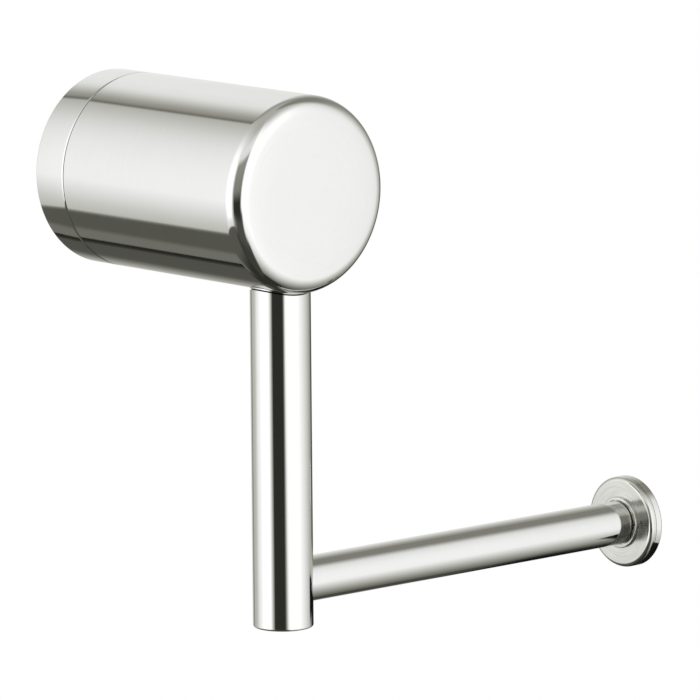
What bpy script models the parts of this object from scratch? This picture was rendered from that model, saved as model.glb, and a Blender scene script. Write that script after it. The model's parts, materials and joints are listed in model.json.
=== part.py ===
"""Wall-mounted toilet paper holder: a round body on a bracket, a drop rod and a roll bar with a stop disc.

Metres, +Z up. The wall is the plane y = 0 and the holder stands out towards -Y. The body's axis is the
Y axis, the drop rod hangs straight down near its front, and the roll bar leaves the rod towards +X.
"""

import math

import bmesh
import bpy
from mathutils import Matrix, Vector

# Fits
CLEARANCE = 0.0003  # gap between pieces that touch
THREAD_CLEARANCE = 0.0003  # gap between a screw and its tapped hole
SEAM_GAP = 0.0003  # hairline between the base ring and the body
EDGE_BREAK = 0.0003  # small chamfer on turned edges

# Body and base ring, slices of one tube
BODY_RADIUS = 0.0260
BODY_WALL = 0.0015
BODY_PROJECTION = 0.0820  # wall to front face
FRONT_EDGE_RADIUS = 0.0045
BASE_RING_DEPTH = 0.0110  # wall to seam

# Wall bracket
SPIGOT_LENGTH = 0.0140  # what the body slides over
SPIGOT_WALL = 0.0072
BRACKET_WEB = 0.0040  # back plate of the bracket
SCREW_SLOT_WIDTH = 0.0052
SCREW_SLOT_LENGTH = 0.0080
SCREW_HEAD_RADIUS = 0.0048  # wall screw head that has to fit in the well
GASKET_WIDTH = 0.0040
GASKET_THICKNESS = 0.0012
GASKET_MARGIN = 0.0014  # bracket rim outside the gasket's groove
O_RING_CORD = 0.0014  # cord diameter of the two bracket rings

# Locking screw, its boss and its keyway
KEY_WIDTH = 0.0080
KEY_LENGTH = 0.0075
KEY_HEIGHT = 0.0042
KEYWAY_START = 0.0030  # seam to keyway
LOCK_SCREW_RADIUS = 0.0025
LOCK_SCREW_RECESS = 0.0005  # below the body's surface
HEX_DEPTH = 0.0024
LOCK_HEX_FLATS = 0.0025  # width across flats
LOCK_POINT = 0.0006  # bevel of the screw's tip

# Drop rod and the carrier that holds it
ROD_RADIUS = 0.0080
ROD_SETBACK = 0.0135  # front face to rod axis
ROD_TOP = 0.0060  # above the body's axis
ROD_TAIL = 0.0115  # below the bar's axis
ROD_EDGE_RADIUS = 0.0006
ROD_FLAT_DEPTH = 0.0010
ROD_FLAT_LENGTH = 0.0240
CARRIER_BACK_WEB = 0.0080  # carrier behind the rod, where the grip screws run
CARRIER_ROOF = 0.0030  # carrier above the rod
GRIP_SCREW_RADIUS = 0.0030
GRIP_SCREW_INSET = 0.0006  # below the carrier's back face
GRIP_SCREW_TOP = 0.0060  # rod top to upper screw
GRIP_SCREW_SPACING = 0.0120
GRIP_HEX_FLATS = 0.0030

# Roll bar
BAR_RADIUS = 0.0060
BAR_WALL = 0.0015
BAR_DROP = 0.1040  # body axis to bar axis
BAR_REACH = 0.1270  # rod axis to the end cap's face
ROD_SOCKET_DEPTH = 0.0033
PLUG_LENGTH = 0.0120
JOIN_STUD_RADIUS = 0.0030
JOIN_STUD_IN_ROD = 0.0080  # past the socket's floor
JOIN_STUD_IN_BAR = 0.0090

# Stop disc and end cap
HUB_WALL = 0.0011  # hub round the bar
DISC_HUB_STEP = 0.0008
DISC_FLAT_RADIUS = 0.0113
DISC_THICKNESS = 0.0017
CAP_RADIUS = 0.0125
CAP_THICKNESS = 0.0027
CAP_EDGE_RADIUS = 0.0009
CAP_STUD_RADIUS = 0.0020
CAP_STUD_LENGTH = 0.0130
CAP_FACE = 0.0010  # metal left in front of the cap's tapped hole
CAP_RING_CORD = 0.0012
CAP_RING_RADIUS = 0.0090  # middle of the ring's cord

# Facets
BIG_SEGMENTS = 64
ROD_SEGMENTS = 40
BAR_SEGMENTS = 36
SMALL_SEGMENTS = 16
ARC_STEPS = 5
SMALL_ARC_STEPS = 3
CORD_SEGMENTS = 6

# Sizes that follow from the ones above
SLEEVE_RADIUS = BODY_RADIUS - BODY_WALL  # inside of the body and of the base ring
BRACKET_RADIUS = SLEEVE_RADIUS - CLEARANCE
BRACKET_DEPTH = BASE_RING_DEPTH + SEAM_GAP + SPIGOT_LENGTH
WELL_RADIUS = BRACKET_RADIUS - SPIGOT_WALL
SCREW_SLOT_OFFSET = WELL_RADIUS - SCREW_HEAD_RADIUS - CLEARANCE
ROD_DEPTH = BODY_PROJECTION - ROD_SETBACK  # wall to rod axis
ROD_BOTTOM = -(BAR_DROP + ROD_TAIL)
CARRIER_FRONT = BODY_PROJECTION - BODY_WALL - CLEARANCE
CARRIER_BACK = ROD_DEPTH - ROD_RADIUS - CLEARANCE - CARRIER_BACK_WEB
ROD_FLAT_DEPTH_FROM_WALL = ROD_DEPTH - ROD_RADIUS + ROD_FLAT_DEPTH
LOCK_SCREW_DEPTH = BASE_RING_DEPTH + SEAM_GAP + KEYWAY_START + CLEARANCE + KEY_LENGTH / 2
KEY_FLOOR = BRACKET_RADIUS - KEY_HEIGHT  # inner face of the boss, from the body's axis
BAR_START = ROD_RADIUS - ROD_SOCKET_DEPTH + CLEARANCE
CAP_BACK = BAR_REACH - CAP_THICKNESS
DISC_FRONT = CAP_BACK - CLEARANCE
DISC_BACK = DISC_FRONT - DISC_THICKNESS
HUB_BACK = DISC_BACK - DISC_HUB_STEP
DISC_HUB_RADIUS = BAR_RADIUS + HUB_WALL
CAP_BOSS_RADIUS = BAR_RADIUS - BAR_WALL  # as wide as the bar's bore
BAR_END = DISC_BACK - CLEARANCE

FORWARD = Matrix.Rotation(math.radians(90), 4, "X")  # a local +Z axis turned to point away from the wall
SIDEWAYS = Matrix.Rotation(math.radians(90), 4, "Y")  # a local +Z axis turned to point along the bar
UPRIGHT = Matrix.Identity(4)
BODY_LINE = Vector((0, 0, 0))
ROD_LINE = Vector((0, -ROD_DEPTH, 0))
BAR_LINE = Vector((0, -ROD_DEPTH, -BAR_DROP))


def clear_scene():
    for obj in list(bpy.data.objects):
        bpy.data.objects.remove(obj, do_unlink=True)


def make_material(name, colour, roughness, metallic):
    material = bpy.data.materials.new(name)
    material.use_nodes = True
    shader = material.node_tree.nodes["Principled BSDF"]
    shader.inputs["Base Color"].default_value = (*colour, 1.0)
    shader.inputs["Roughness"].default_value = roughness
    shader.inputs["Metallic"].default_value = metallic
    return material


def polished(name):
    return make_material(name + "_steel", (0.78, 0.77, 0.74), 0.12, 1.0)


def machined(name):
    return make_material(name + "_machined", (0.66, 0.65, 0.63), 0.35, 1.0)


def brass(name):
    return make_material(name + "_brass", (0.72, 0.56, 0.30), 0.35, 1.0)


def fastener(name):
    return make_material(name + "_fastener", (0.55, 0.55, 0.55), 0.3, 1.0)


def rubber(name):
    return make_material(name + "_rubber", (0.03, 0.03, 0.03), 0.75, 0.0)


def make_frame(name, place, parent=None):
    frame = bpy.data.objects.new(name, None)
    frame.location = place
    frame.parent = parent
    bpy.context.scene.collection.objects.link(frame)
    return frame


def add_object(name, mesh_builder, turn, place, material=None, parent=None):
    """One object whose shape is built by mesh_builder round its own +Z axis, then turned and placed."""
    shape = bmesh.new()
    mesh_builder(shape)
    bmesh.ops.remove_doubles(shape, verts=shape.verts, dist=1e-7)
    bmesh.ops.recalc_face_normals(shape, faces=shape.faces)
    mesh = bpy.data.meshes.new(name)
    shape.to_mesh(mesh)
    shape.free()
    mesh.shade_smooth()
    mesh.set_sharp_from_angle(angle=math.radians(30))
    obj = bpy.data.objects.new(name, mesh)
    bpy.context.scene.collection.objects.link(obj)
    start = parent.location if parent else Vector((0, 0, 0))
    obj.parent = parent
    obj.matrix_local = Matrix.Translation(place - start) @ turn
    if material:
        mesh.materials.append(material)
    return obj


def turned(profile, segments):
    """A builder that spins a closed outline of (radius, height) points round the Z axis."""

    def build(shape):
        points = [shape.verts.new((radius, 0, height)) for radius, height in profile]
        edges = [shape.edges.new(pair) for pair in zip(points, points[1:] + points[:1])]
        bmesh.ops.spin(
            shape,
            geom=points + edges,
            cent=(0, 0, 0),
            axis=(0, 0, 1),
            angle=math.tau,
            steps=segments,
            use_merge=True,
        )
        bmesh.ops.remove_doubles(shape, verts=shape.verts, dist=1e-7)
        on_axis = [e for e in shape.edges if not e.link_faces]
        bmesh.ops.delete(shape, geom=on_axis, context="EDGES")

    return build


def cylinder(radius, start, end, segments):
    return turned([(0, start), (radius, start), (radius, end), (0, end)], segments)


def arc(centre, radius, first, last, steps=ARC_STEPS):
    """Points of an arc from one angle to another, in degrees, in the (radius, height) plane."""
    points = []
    for step in range(steps + 1):
        angle = math.radians(first + (last - first) * step / steps)
        points.append((centre[0] + radius * math.cos(angle), centre[1] + radius * math.sin(angle)))
    return points


def cord_ring(ring_radius, height, cord):
    """A builder for an O-ring with its middle at ring_radius."""
    outline = arc((ring_radius, height), cord / 2, 0, 360, CORD_SEGMENTS)[:-1]
    return turned(outline, BIG_SEGMENTS)


def block(low, high):
    """A builder for a rectangular block between two corners."""

    def build(shape):
        size = [b - a for a, b in zip(low, high)]
        middle = [(a + b) / 2 for a, b in zip(low, high)]
        bmesh.ops.create_cube(shape, size=1.0)
        bmesh.ops.scale(shape, vec=size, verts=shape.verts)
        bmesh.ops.translate(shape, vec=middle, verts=shape.verts)

    return build


def prism(corners, low, high):
    """A builder that extrudes a flat outline along Z."""

    def build(shape):
        face = shape.faces.new([shape.verts.new((x, y, low)) for x, y in corners])
        side = bmesh.ops.extrude_face_region(shape, geom=[face])
        moved = [v for v in side["geom"] if isinstance(v, bmesh.types.BMVert)]
        bmesh.ops.translate(shape, vec=(0, 0, high - low), verts=moved)

    return build


def hexagon(flats):
    corner = flats / math.sqrt(3)
    return [(corner * math.cos(math.tau * k / 6), corner * math.sin(math.tau * k / 6)) for k in range(6)]


def slot(width, length, centre_x):
    """Outline of a straight slot with round ends, along Y."""
    run = (length - width) / 2
    top = arc((centre_x, run), width / 2, 0, 180)
    bottom = arc((centre_x, -run), width / 2, 180, 360)
    return top + bottom


def cut(target, name, mesh_builder, turn, place, operation="DIFFERENCE"):
    """A Boolean on target with a hidden cutter, which takes the target's parent."""
    parent = target.parent
    cutter = add_object(target.name + "_" + name, mesh_builder, turn, place, parent=parent)
    cutter.hide_render = True
    cutter.display_type = "WIRE"
    step = target.modifiers.new(name, "BOOLEAN")
    step.operation = operation
    step.object = cutter


# Wall side


def make_wall_bracket(parent):
    """Turned bracket: a back plate with two screw slots, and a hollow spigot for the ring and the body."""
    rear_groove = BASE_RING_DEPTH / 2
    front_groove = BASE_RING_DEPTH + SEAM_GAP + KEYWAY_START / 2
    floor = BRACKET_RADIUS - O_RING_CORD - CLEARANCE
    half = O_RING_CORD / 2 + CLEARANCE
    gasket_outer = BRACKET_RADIUS - GASKET_MARGIN
    gasket_inner = gasket_outer - GASKET_WIDTH - 2 * CLEARANCE
    gasket_floor = GASKET_THICKNESS + CLEARANCE
    profile = [(0, 0), (gasket_inner, 0), (gasket_inner, gasket_floor), (gasket_outer, gasket_floor)]
    profile += [(gasket_outer, 0), (BRACKET_RADIUS - EDGE_BREAK, 0), (BRACKET_RADIUS, EDGE_BREAK)]
    for middle in (rear_groove, front_groove):
        profile += [(BRACKET_RADIUS, middle - half), (floor, middle - half)]
        profile += [(floor, middle + half), (BRACKET_RADIUS, middle + half)]
    profile += [
        (BRACKET_RADIUS, BRACKET_DEPTH - 2 * EDGE_BREAK),
        (BRACKET_RADIUS - 2 * EDGE_BREAK, BRACKET_DEPTH),
        (WELL_RADIUS + EDGE_BREAK, BRACKET_DEPTH),
        (WELL_RADIUS, BRACKET_DEPTH - EDGE_BREAK),
        (WELL_RADIUS, BRACKET_WEB),
        (0, BRACKET_WEB),
    ]
    bracket = add_object(
        "wall_bracket", turned(profile, BIG_SEGMENTS), FORWARD, BODY_LINE, machined("wall_bracket"), parent
    )
    for side, name in ((-1, "slot_left"), (1, "slot_right")):
        outline = slot(SCREW_SLOT_WIDTH, SCREW_SLOT_LENGTH, side * SCREW_SLOT_OFFSET)
        cut(bracket, name, prism(outline, -CLEARANCE, BRACKET_WEB + CLEARANCE), FORWARD, BODY_LINE)
    half_key = KEY_WIDTH / 2 + CLEARANCE
    keyway = block(
        (-half_key, -BRACKET_RADIUS - CLEARANCE, BASE_RING_DEPTH + SEAM_GAP + KEYWAY_START),
        (half_key, -(KEY_FLOOR - CLEARANCE), BRACKET_DEPTH + CLEARANCE),
    )
    cut(bracket, "keyway", keyway, FORWARD, BODY_LINE)
    return rear_groove, front_groove


def make_wall_gasket(parent):
    outer = BRACKET_RADIUS - GASKET_MARGIN - CLEARANCE
    inner = outer - GASKET_WIDTH
    outline = [(inner, 0), (outer, 0), (outer, GASKET_THICKNESS), (inner, GASKET_THICKNESS)]
    add_object(
        "wall_gasket", turned(outline, BIG_SEGMENTS), FORWARD, BODY_LINE, rubber("wall_gasket"), parent
    )


def make_bracket_rings(grooves, parent):
    """Two O-rings that keep the base ring and the body from rattling on the bracket."""
    middle = BRACKET_RADIUS - O_RING_CORD / 2
    for name, height in zip(("rear_o_ring", "front_o_ring"), grooves):
        add_object(name, cord_ring(middle, height, O_RING_CORD), FORWARD, BODY_LINE, rubber(name), parent)


def make_base_ring(parent):
    """A slice of the body's tube between the wall and the seam."""
    outline = [
        (SLEEVE_RADIUS, 0),
        (BODY_RADIUS - EDGE_BREAK, 0),
        (BODY_RADIUS, EDGE_BREAK),
        (BODY_RADIUS, BASE_RING_DEPTH - EDGE_BREAK),
        (BODY_RADIUS - EDGE_BREAK, BASE_RING_DEPTH),
        (SLEEVE_RADIUS, BASE_RING_DEPTH),
    ]
    add_object("base_ring", turned(outline, BIG_SEGMENTS), FORWARD, BODY_LINE, polished("base_ring"), parent)


# Body


def make_body_shell(parent):
    """Drawn cup, open towards the wall, with a rounded front edge."""
    back = BASE_RING_DEPTH + SEAM_GAP
    inner_edge = max(FRONT_EDGE_RADIUS - BODY_WALL, BODY_WALL / 2)
    centre = (BODY_RADIUS - FRONT_EDGE_RADIUS, BODY_PROJECTION - FRONT_EDGE_RADIUS)
    inner_face = BODY_PROJECTION - BODY_WALL
    inner_centre = (SLEEVE_RADIUS - inner_edge, inner_face - inner_edge)
    outline = [(SLEEVE_RADIUS, back), (BODY_RADIUS - EDGE_BREAK, back), (BODY_RADIUS, back + EDGE_BREAK)]
    outline += arc(centre, FRONT_EDGE_RADIUS, 0, 90)
    outline += [(0, BODY_PROJECTION), (0, inner_face)]
    outline += arc(inner_centre, inner_edge, 90, 0)
    shell = add_object(
        "body_shell", turned(outline, BIG_SEGMENTS), FORWARD, BODY_LINE, polished("body_shell"), parent
    )
    rod_hole = cylinder(ROD_RADIUS + CLEARANCE, -BODY_RADIUS - CLEARANCE, 0, ROD_SEGMENTS)
    cut(shell, "rod_hole", rod_hole, UPRIGHT, ROD_LINE)
    cut(shell, "lock_hole", lock_bore(), UPRIGHT, lock_line())


def lock_line():
    return Vector((0, -LOCK_SCREW_DEPTH, 0))


def lock_bore():
    """The tapped hole that runs through the body's wall and the boss."""
    radius = LOCK_SCREW_RADIUS + THREAD_CLEARANCE
    return cylinder(radius, -BODY_RADIUS - CLEARANCE, -KEY_FLOOR + CLEARANCE, SMALL_SEGMENTS)


def make_screw_boss(parent):
    """Boss welded inside the body: it holds the locking screw and runs in the bracket's keyway."""
    start = LOCK_SCREW_DEPTH - KEY_LENGTH / 2
    blank = block((-KEY_WIDTH / 2, -BODY_RADIUS, start), (KEY_WIDTH / 2, -KEY_FLOOR, start + KEY_LENGTH))
    boss = add_object("screw_boss", blank, FORWARD, BODY_LINE, machined("screw_boss"), parent)
    inside = cylinder(BRACKET_RADIUS, 0, BODY_PROJECTION, BIG_SEGMENTS)
    cut(boss, "body_curve", inside, FORWARD, BODY_LINE, "INTERSECT")
    cut(boss, "lock_hole", lock_bore(), UPRIGHT, lock_line())


def socket_screw(name, radius, length, flats, turn, place, parent):
    """Grub screw whose hexagon socket opens at local z = 0 and whose tip is at z = -length."""
    outline = [
        (0, -length),
        (radius - LOCK_POINT, -length),
        (radius, -length + LOCK_POINT),
        (radius, -EDGE_BREAK),
        (radius - EDGE_BREAK, 0),
        (0, 0),
    ]
    screw = add_object(name, turned(outline, SMALL_SEGMENTS), turn, place, fastener(name), parent)
    cut(screw, "hexagon", prism(hexagon(flats), -HEX_DEPTH, CLEARANCE), turn, place)


def make_locking_screw(parent):
    """Socket screw under the body, which bears on the floor of the keyway."""
    outer = BODY_RADIUS - LOCK_SCREW_RECESS
    length = outer - KEY_FLOOR
    socket_screw(
        "locking_screw",
        LOCK_SCREW_RADIUS,
        length,
        LOCK_HEX_FLATS,
        Matrix.Rotation(math.radians(180), 4, "X"),
        Vector((0, -LOCK_SCREW_DEPTH, -outer)),
        parent,
    )


# Arm


def make_rod_carrier(parent):
    """Round block inside the body's front: the rod passes through the body's hole into it and locks it."""
    corner = max(FRONT_EDGE_RADIUS - BODY_WALL, BODY_WALL / 2)
    outline = [
        (0, CARRIER_BACK),
        (BRACKET_RADIUS - EDGE_BREAK, CARRIER_BACK),
        (BRACKET_RADIUS, CARRIER_BACK + EDGE_BREAK),
        (BRACKET_RADIUS, CARRIER_FRONT - corner),
        (BRACKET_RADIUS - corner, CARRIER_FRONT),
        (0, CARRIER_FRONT),
    ]
    carrier = add_object(
        "rod_carrier", turned(outline, BIG_SEGMENTS), FORWARD, BODY_LINE, brass("rod_carrier"), parent
    )
    roof = block(
        (-BODY_RADIUS, ROD_TOP + CARRIER_ROOF, CARRIER_BACK - CLEARANCE),
        (BODY_RADIUS, BODY_RADIUS, ROD_DEPTH - ROD_RADIUS),
    )
    cut(carrier, "relief", roof, FORWARD, BODY_LINE)
    bore = cylinder(ROD_RADIUS + CLEARANCE, -BODY_RADIUS, ROD_TOP + CLEARANCE, ROD_SEGMENTS)
    cut(carrier, "rod_bore", bore, UPRIGHT, ROD_LINE)
    hole = cylinder(
        GRIP_SCREW_RADIUS + THREAD_CLEARANCE, CARRIER_BACK - CLEARANCE, ROD_DEPTH, SMALL_SEGMENTS
    )
    for name, height in grip_heights():
        cut(carrier, name + "_hole", hole, FORWARD, Vector((0, 0, height)))


def grip_heights():
    upper = ROD_TOP - GRIP_SCREW_TOP
    return ("upper", upper), ("lower", upper - GRIP_SCREW_SPACING)


def make_grip_screws(parent):
    """Two socket screws driven from behind, which bear on the rod's flat."""
    head = CARRIER_BACK + GRIP_SCREW_INSET
    length = ROD_FLAT_DEPTH_FROM_WALL - CLEARANCE - head
    backward = Matrix.Rotation(math.radians(-90), 4, "X")
    for name, height in grip_heights():
        socket_screw(
            "grip_screw_" + name,
            GRIP_SCREW_RADIUS,
            length,
            GRIP_HEX_FLATS,
            backward,
            Vector((0, -head, height)),
            parent,
        )


def make_drop_rod(parent):
    """Solid rod with a flat for the grip screws and a socket in its side for the bar."""
    outline = [(0, ROD_BOTTOM)]
    corner = (ROD_RADIUS - ROD_EDGE_RADIUS, ROD_BOTTOM + ROD_EDGE_RADIUS)
    outline += arc(corner, ROD_EDGE_RADIUS, -90, 0, SMALL_ARC_STEPS)
    outline += [(ROD_RADIUS, ROD_TOP - ROD_EDGE_RADIUS), (ROD_RADIUS - ROD_EDGE_RADIUS, ROD_TOP)]
    outline += [(0, ROD_TOP)]
    rod = add_object(
        "drop_rod", turned(outline, ROD_SEGMENTS), UPRIGHT, ROD_LINE, polished("drop_rod"), parent
    )
    flat = block(
        (-ROD_RADIUS - CLEARANCE, ROD_RADIUS - ROD_FLAT_DEPTH, ROD_TOP - ROD_FLAT_LENGTH),
        (ROD_RADIUS + CLEARANCE, ROD_RADIUS + CLEARANCE, ROD_TOP + CLEARANCE),
    )
    cut(rod, "flat", flat, UPRIGHT, ROD_LINE)
    floor = ROD_RADIUS - ROD_SOCKET_DEPTH
    socket = cylinder(BAR_RADIUS + CLEARANCE, floor, ROD_RADIUS + CLEARANCE, BAR_SEGMENTS)
    cut(rod, "bar_socket", socket, SIDEWAYS, BAR_LINE)
    tapped = cylinder(
        JOIN_STUD_RADIUS + THREAD_CLEARANCE, floor - JOIN_STUD_IN_ROD - CLEARANCE, ROD_RADIUS, SMALL_SEGMENTS
    )
    cut(rod, "stud_hole", tapped, SIDEWAYS, BAR_LINE)


def make_joining_stud(parent):
    """Threaded stud that pulls the bar into the rod's socket."""
    floor = ROD_RADIUS - ROD_SOCKET_DEPTH
    start = floor - JOIN_STUD_IN_ROD
    end = BAR_START + CLEARANCE + JOIN_STUD_IN_BAR
    stud("joining_stud", JOIN_STUD_RADIUS, start, end, parent)


def stud(name, radius, start, end, parent):
    outline = [
        (0, start),
        (radius - 2 * EDGE_BREAK, start),
        (radius, start + 2 * EDGE_BREAK),
        (radius, end - 2 * EDGE_BREAK),
        (radius - 2 * EDGE_BREAK, end),
        (0, end),
    ]
    add_object(name, turned(outline, SMALL_SEGMENTS), SIDEWAYS, BAR_LINE, fastener(name), parent)


def make_bar_tube(parent):
    inner = BAR_RADIUS - BAR_WALL
    outline = [
        (inner, BAR_START),
        (BAR_RADIUS - EDGE_BREAK, BAR_START),
        (BAR_RADIUS, BAR_START + EDGE_BREAK),
        (BAR_RADIUS, BAR_END - EDGE_BREAK),
        (BAR_RADIUS - EDGE_BREAK, BAR_END),
        (inner, BAR_END),
    ]
    add_object("bar_tube", turned(outline, BAR_SEGMENTS), SIDEWAYS, BAR_LINE, polished("bar_tube"), parent)


def make_bar_plugs(parent):
    """Tapped plugs brazed into the two ends of the bar."""
    radius = BAR_RADIUS - BAR_WALL - CLEARANCE
    ends = (
        ("inner_bar_plug", BAR_START + CLEARANCE, BAR_START + CLEARANCE + PLUG_LENGTH, JOIN_STUD_RADIUS),
        ("outer_bar_plug", BAR_END - CLEARANCE - PLUG_LENGTH, BAR_END - CLEARANCE, CAP_STUD_RADIUS),
    )
    for name, start, end, stud_radius in ends:
        bore = stud_radius + THREAD_CLEARANCE
        outline = [
            (bore, start),
            (radius - EDGE_BREAK, start),
            (radius, start + EDGE_BREAK),
            (radius, end - EDGE_BREAK),
            (radius - EDGE_BREAK, end),
            (bore, end),
        ]
        add_object(name, turned(outline, SMALL_SEGMENTS), SIDEWAYS, BAR_LINE, brass(name), parent)


def make_stop_disc(parent):
    """Turned washer, flush with the cap, with a low hub, a flat face towards the roll and a rounded shoulder."""
    shoulder = CAP_RADIUS - DISC_FLAT_RADIUS
    outline = [
        (BAR_RADIUS + CLEARANCE, HUB_BACK),
        (DISC_HUB_RADIUS - EDGE_BREAK, HUB_BACK),
        (DISC_HUB_RADIUS, HUB_BACK + EDGE_BREAK),
        (DISC_HUB_RADIUS, DISC_BACK),
    ]
    outline += arc((DISC_FLAT_RADIUS, DISC_BACK + shoulder), shoulder, -90, 0, SMALL_ARC_STEPS)
    outline += [
        (CAP_RADIUS, DISC_FRONT - EDGE_BREAK),
        (CAP_RADIUS - EDGE_BREAK, DISC_FRONT),
        (CAP_BOSS_RADIUS + CLEARANCE, DISC_FRONT),
        (CAP_BOSS_RADIUS + CLEARANCE, DISC_BACK),
        (BAR_RADIUS + CLEARANCE, DISC_BACK),
    ]
    add_object("stop_disc", turned(outline, BAR_SEGMENTS), SIDEWAYS, BAR_LINE, polished("stop_disc"), parent)


def make_end_cap(parent):
    """Cap on a threaded stud: its boss passes through the disc, which it clamps to the bar's end."""
    bore = CAP_STUD_RADIUS + THREAD_CLEARANCE
    hole_end = BAR_REACH - CAP_FACE
    groove_in = CAP_RING_RADIUS - CAP_RING_CORD / 2 - CLEARANCE
    groove_out = CAP_RING_RADIUS + CAP_RING_CORD / 2 + CLEARANCE
    groove_floor = CAP_BACK + CAP_RING_CORD + CLEARANCE
    outline = [(bore, DISC_BACK), (CAP_BOSS_RADIUS, DISC_BACK), (CAP_BOSS_RADIUS, CAP_BACK)]
    outline += [(groove_in, CAP_BACK), (groove_in, groove_floor), (groove_out, groove_floor)]
    outline += [(groove_out, CAP_BACK), (CAP_RADIUS - EDGE_BREAK, CAP_BACK)]
    outline += [(CAP_RADIUS, CAP_BACK + EDGE_BREAK)]
    corner = (CAP_RADIUS - CAP_EDGE_RADIUS, BAR_REACH - CAP_EDGE_RADIUS)
    outline += arc(corner, CAP_EDGE_RADIUS, 0, 90, SMALL_ARC_STEPS)
    outline += [(0, BAR_REACH), (0, hole_end), (bore, hole_end)]
    add_object("end_cap", turned(outline, BAR_SEGMENTS), SIDEWAYS, BAR_LINE, polished("end_cap"), parent)


def make_cap_ring(parent):
    """O-ring in the cap's back groove, which keeps the cap from working loose."""
    middle = CAP_BACK + CAP_RING_CORD / 2
    ring = turned(arc((CAP_RING_RADIUS, middle), CAP_RING_CORD / 2, 0, 360, CORD_SEGMENTS)[:-1], BAR_SEGMENTS)
    add_object("cap_o_ring", ring, SIDEWAYS, BAR_LINE, rubber("cap_o_ring"), parent)


def make_cap_stud(parent):
    end = BAR_REACH - CAP_FACE - CLEARANCE
    stud("cap_stud", CAP_STUD_RADIUS, end - CAP_STUD_LENGTH, end, parent)


def main():
    clear_scene()
    wall_side = make_frame("wall_side", BODY_LINE)
    grooves = make_wall_bracket(wall_side)
    make_wall_gasket(wall_side)
    make_bracket_rings(grooves, wall_side)
    make_base_ring(wall_side)

    holder = make_frame("holder", BODY_LINE)
    make_body_shell(holder)
    make_screw_boss(holder)
    make_locking_screw(holder)
    make_rod_carrier(holder)
    make_grip_screws(holder)
    make_drop_rod(holder)
    make_joining_stud(holder)
    make_bar_tube(holder)
    make_bar_plugs(holder)
    make_stop_disc(holder)
    make_cap_ring(holder)
    make_cap_stud(holder)
    make_end_cap(holder)


main()
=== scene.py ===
# %% [markdown]
# # A toilet paper holder in polished steel
# The holder is six visible steel pieces round a handful of hidden ones. A thick-walled polished cup slides
# over a bracket on the wall, a rod hangs out of the cup's underside, and a tube leaves the rod's side and
# ends in a turned disc with a cap. The imported model already holds every size and place, and this script
# only makes the surfaces that someone would look at: finer shapes, finishes, light and a camera. We start
# by loading that model as a fixed frame and by keeping the box that it fills.

# %% Load the frame
import json
import math

import bmesh
import bpy
from mathutils import Matrix, Vector


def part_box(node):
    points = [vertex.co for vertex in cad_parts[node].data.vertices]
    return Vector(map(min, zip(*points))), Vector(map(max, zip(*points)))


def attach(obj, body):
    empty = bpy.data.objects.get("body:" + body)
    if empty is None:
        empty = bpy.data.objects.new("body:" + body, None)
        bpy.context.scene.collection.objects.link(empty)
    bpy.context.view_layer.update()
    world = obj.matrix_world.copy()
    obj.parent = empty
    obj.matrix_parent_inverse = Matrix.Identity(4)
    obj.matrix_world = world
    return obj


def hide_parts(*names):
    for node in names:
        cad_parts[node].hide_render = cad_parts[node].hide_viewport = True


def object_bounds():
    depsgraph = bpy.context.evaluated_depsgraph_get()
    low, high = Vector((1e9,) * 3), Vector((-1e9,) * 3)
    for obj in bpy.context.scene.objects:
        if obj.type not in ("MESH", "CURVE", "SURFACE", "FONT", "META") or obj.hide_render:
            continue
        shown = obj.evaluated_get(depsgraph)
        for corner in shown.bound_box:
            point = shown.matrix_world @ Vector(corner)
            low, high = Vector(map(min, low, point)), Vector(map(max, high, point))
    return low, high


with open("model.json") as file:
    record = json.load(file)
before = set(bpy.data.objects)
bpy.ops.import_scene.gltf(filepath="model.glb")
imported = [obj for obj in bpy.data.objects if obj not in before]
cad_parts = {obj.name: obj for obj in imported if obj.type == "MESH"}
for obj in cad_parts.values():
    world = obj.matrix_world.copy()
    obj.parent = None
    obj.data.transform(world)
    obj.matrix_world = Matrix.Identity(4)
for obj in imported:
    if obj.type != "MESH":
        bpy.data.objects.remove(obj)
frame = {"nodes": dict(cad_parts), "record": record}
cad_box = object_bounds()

print("CAD box", [round(value * 1000, 1) for corner in cad_box for value in corner], "mm")

# %% [markdown]
# ## The camera
# A catalogue picture is taken from well back and with a long lens, because a short one would make the near
# end of the roll bar look far too big. Here the lens is about 350 mm on a 36 mm sensor, almost 1.8 m away.
# The camera looks at the holder from its front left and a little above. Giving the aim point, the distance
# and two angles, instead of a position, keeps the framing easy to change.

# %% Place the camera
AIM = Vector((0.0280, -0.0641, -0.0457))
DISTANCE = 1.7828
HEADING = math.radians(41.38)
PITCH = math.radians(9.44)
TILT = math.radians(-0.45)
LENS = 346.6

looking = Vector((
    math.sin(HEADING) * math.cos(PITCH),
    math.cos(HEADING) * math.cos(PITCH),
    -math.sin(PITCH),
))
camera_data = bpy.data.cameras.new("camera")
camera_data.lens = LENS
camera_data.sensor_width = 36.0
camera_data.clip_end = 50.0
camera = bpy.data.objects.new("camera", camera_data)
bpy.context.scene.collection.objects.link(camera)
facing = looking.to_track_quat("-Z", "Y").to_matrix().to_4x4()
camera.matrix_world = Matrix.Translation(AIM - looking * DISTANCE) @ facing @ Matrix.Rotation(TILT, 4, "Z")
bpy.context.scene.camera = camera
bpy.context.scene.view_settings.view_transform = "Standard"
print("camera at", [round(value, 3) for value in camera.matrix_world.translation])

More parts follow.
